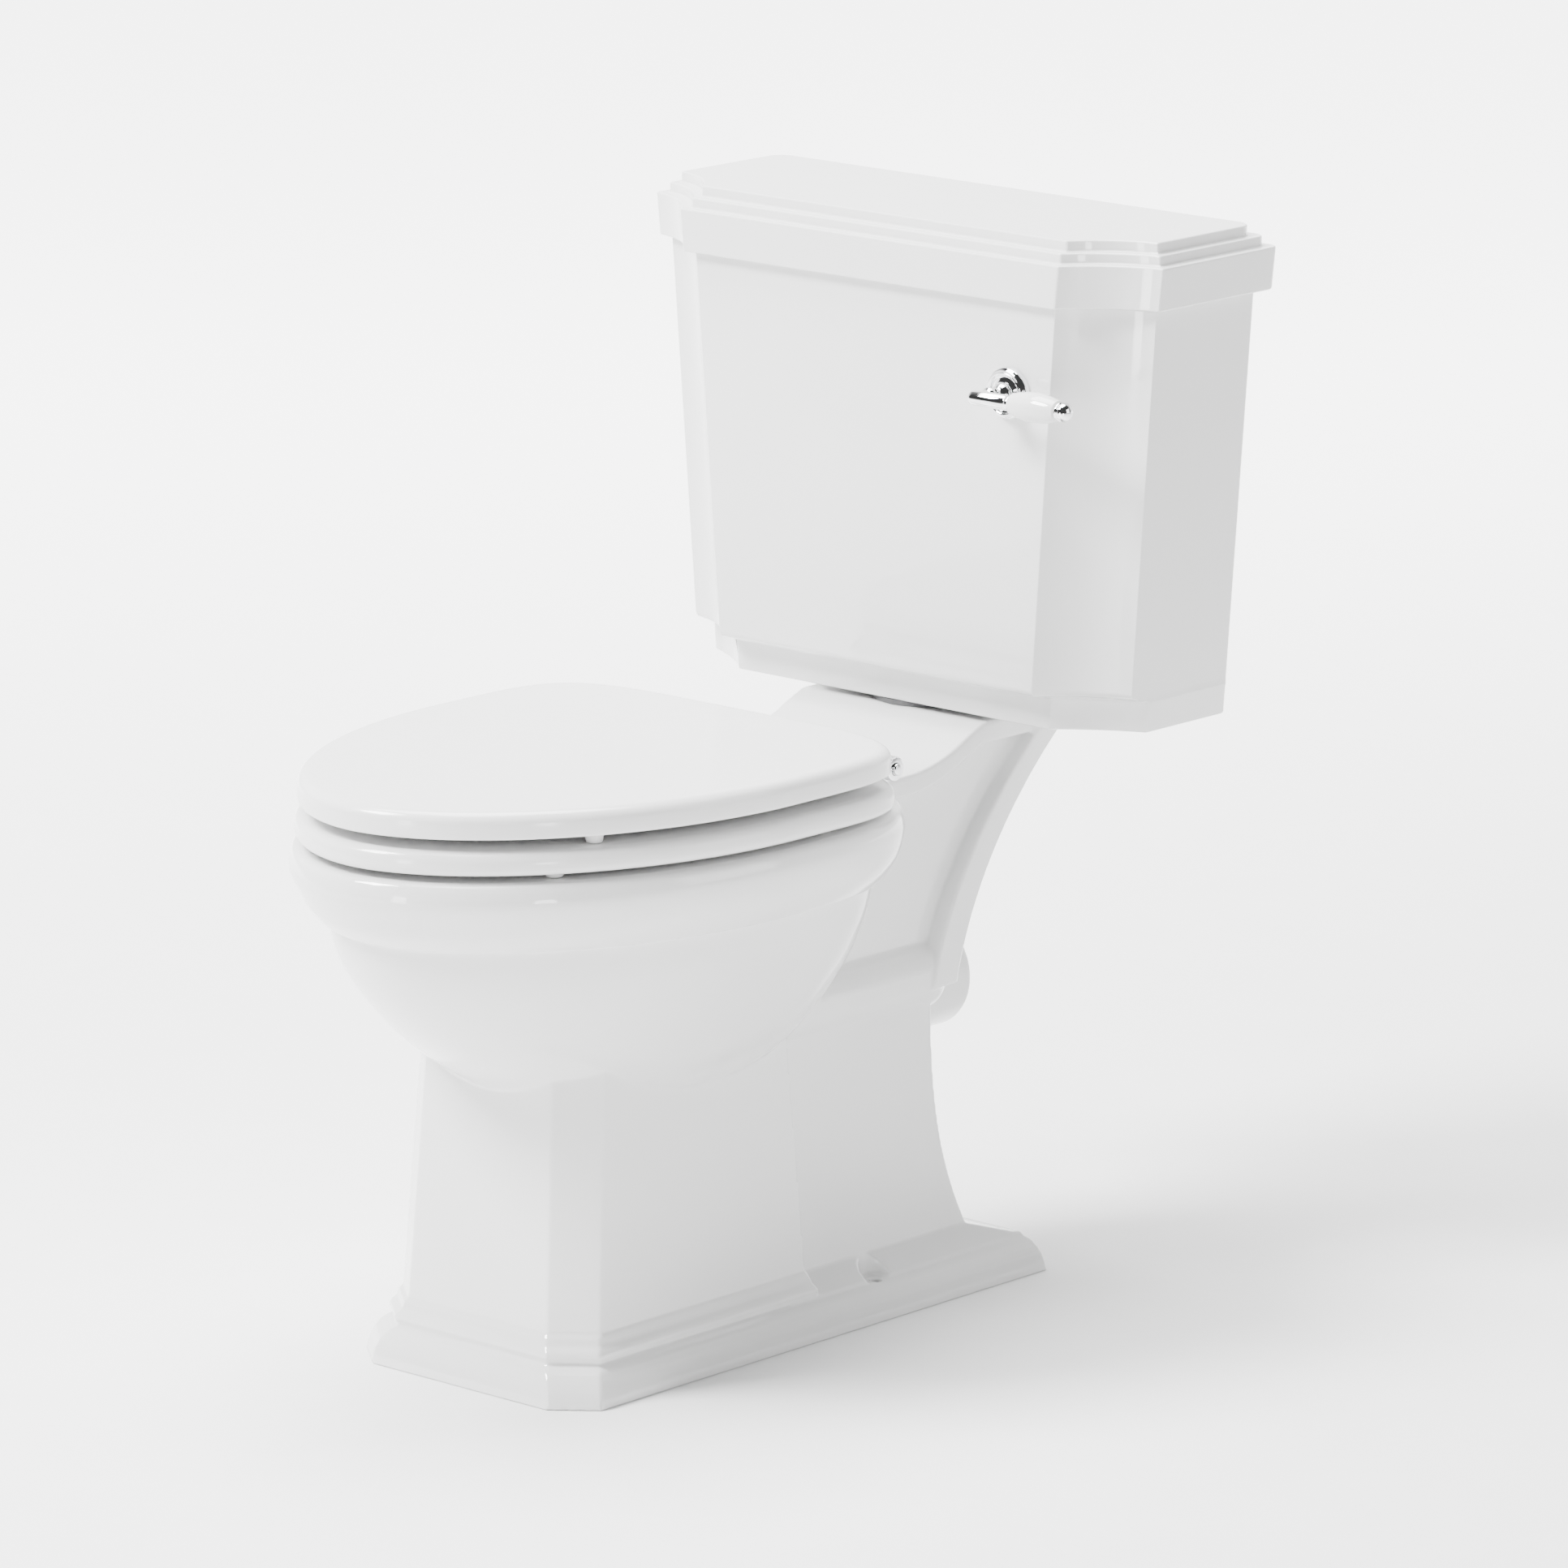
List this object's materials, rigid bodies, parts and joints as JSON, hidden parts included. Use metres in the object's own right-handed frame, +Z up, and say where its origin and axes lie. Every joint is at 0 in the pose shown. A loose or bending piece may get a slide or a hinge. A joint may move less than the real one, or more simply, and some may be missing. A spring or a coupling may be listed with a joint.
{
  "type": "close coupled toilet",
  "caption": "Traditional white close coupled toilet with a stepped cistern lid, side flush lever, lift-up seat and cover, and a horizontal outlet.",
  "frame": {"origin": "on the floor, under the middle of the whole toilet's outline", "axes": "+Z up, -Y towards the person in front of the toilet, +Y towards the wall, +X to the side that carries the flush lever"},
  "size_m": [0.4912, 0.7172, 0.7853],
  "materials": {
    "pan": "gloss",
    "cistern_tank": "gloss",
    "cistern_lid": "gloss",
    "seat_cover": "white gloss lacquer",
    "seat_ring": "white gloss lacquer",
    "cover_buffer_right": "satin",
    "ring_buffer_front_right": "satin",
    "ring_buffer_rear_right": "satin",
    "cover_hinge_right": "polished",
    "ring_hinge_right": "polished",
    "hinge_post_right": "polished",
    "hinge_sleeve_right": "matte",
    "coupling_bolt_right": "plain",
    "bolt_washer_right": "matte",
    "wing_nut_right": "plain",
    "cover_buffer_left": "satin",
    "ring_buffer_front_left": "satin",
    "ring_buffer_rear_left": "satin",
    "cover_hinge_left": "polished",
    "ring_hinge_left": "polished",
    "hinge_post_left": "polished",
    "hinge_sleeve_left": "matte",
    "coupling_bolt_left": "plain",
    "bolt_washer_left": "matte",
    "wing_nut_left": "plain",
    "hinge_bar": "polished",
    "lever_rosette": "polished",
    "lever_backnut": "plain",
    "lever_spindle": "polished",
    "lever_bar": "polished",
    "lever_grip": "gloss",
    "lever_finial": "polished",
    "lever_crank": "plain",
    "siphon_body": "satin",
    "siphon_backnut": "satin",
    "siphon_lift_rod": "plain",
    "siphon_plunger": "satin",
    "doughnut_seal": "matte",
    "fill_valve": "satin",
    "valve_nut": "satin",
    "float_pin": "plain",
    "float_arm": "plain",
    "float_ball": "satin"
  },
  "bodies": {
    "pan_and_cistern": {"pan": "pan", "cistern_tank": "cistern_tank", "hinge_bar": "hinge_bar", "hinge_post_right": "hinge_post_right", "hinge_post_left": "hinge_post_left", "hinge_sleeve_right": "hinge_sleeve_right", "hinge_sleeve_left": "hinge_sleeve_left", "lever_rosette": "lever_rosette", "lever_backnut": "lever_backnut", "siphon_body": "siphon_body", "siphon_backnut": "siphon_backnut", "doughnut_seal": "doughnut_seal", "coupling_bolt_right": "coupling_bolt_right", "coupling_bolt_left": "coupling_bolt_left", "bolt_washer_right": "bolt_washer_right", "bolt_washer_left": "bolt_washer_left", "wing_nut_right": "wing_nut_right", "wing_nut_left": "wing_nut_left", "fill_valve": "fill_valve", "valve_nut": "valve_nut", "float_pin": "float_pin"},
    "lid": {"cistern_lid": "cistern_lid"},
    "cover": {"seat_cover": "seat_cover", "cover_buffer_right": "cover_buffer_right", "cover_buffer_left": "cover_buffer_left", "cover_hinge_right": "cover_hinge_right", "cover_hinge_left": "cover_hinge_left"},
    "ring": {"seat_ring": "seat_ring", "ring_buffer_front_right": "ring_buffer_front_right", "ring_buffer_front_left": "ring_buffer_front_left", "ring_buffer_rear_right": "ring_buffer_rear_right", "ring_buffer_rear_left": "ring_buffer_rear_left", "ring_hinge_right": "ring_hinge_right", "ring_hinge_left": "ring_hinge_left"},
    "lever": {"lever_spindle": "lever_spindle", "lever_bar": "lever_bar", "lever_grip": "lever_grip", "lever_finial": "lever_finial", "lever_crank": "lever_crank"},
    "siphon_lift": {"siphon_lift_rod": "siphon_lift_rod", "siphon_plunger": "siphon_plunger"},
    "float": {"float_arm": "float_arm", "float_ball": "float_ball"}
  },
  "joints": [
    {"name": "lid_lift", "type": "slide", "parent": "pan_and_cistern", "child": "lid", "axis": [0, 0, 1], "range_m": [0, 0.1]},
    {"name": "cover_hinge", "type": "hinge", "parent": "pan_and_cistern", "child": "cover", "pos_m": [0, 0.08, 0.412], "axis": [-1, 0, 0], "range_deg": [0, 96]},
    {"name": "ring_hinge", "type": "hinge", "parent": "pan_and_cistern", "child": "ring", "pos_m": [0, 0.08, 0.412], "axis": [-1, 0, 0], "range_deg": [0, 94.08]},
    {"name": "lever_turn", "type": "hinge", "parent": "pan_and_cistern", "child": "lever", "pos_m": [0.132, 0.162, 0.671], "axis": [0, 1, 0], "range_deg": [0, 33]},
    {"name": "siphon_lift", "type": "slide", "parent": "pan_and_cistern", "child": "siphon_lift", "axis": [0, 0, 1], "range_m": [0, 0.0566]},
    {"name": "float_rise", "type": "hinge", "parent": "pan_and_cistern", "child": "float", "pos_m": [-0.097, 0.29, 0.59], "axis": [0, -1, 0], "range_deg": [0, 22]}
  ],
  "couplings": [
    {"joint": "ring_hinge", "follows": "cover_hinge", "ratio": 0.98},
    {"joint": "siphon_lift", "follows": "lever_turn", "m_per_rad": 0.0981}
  ]
}
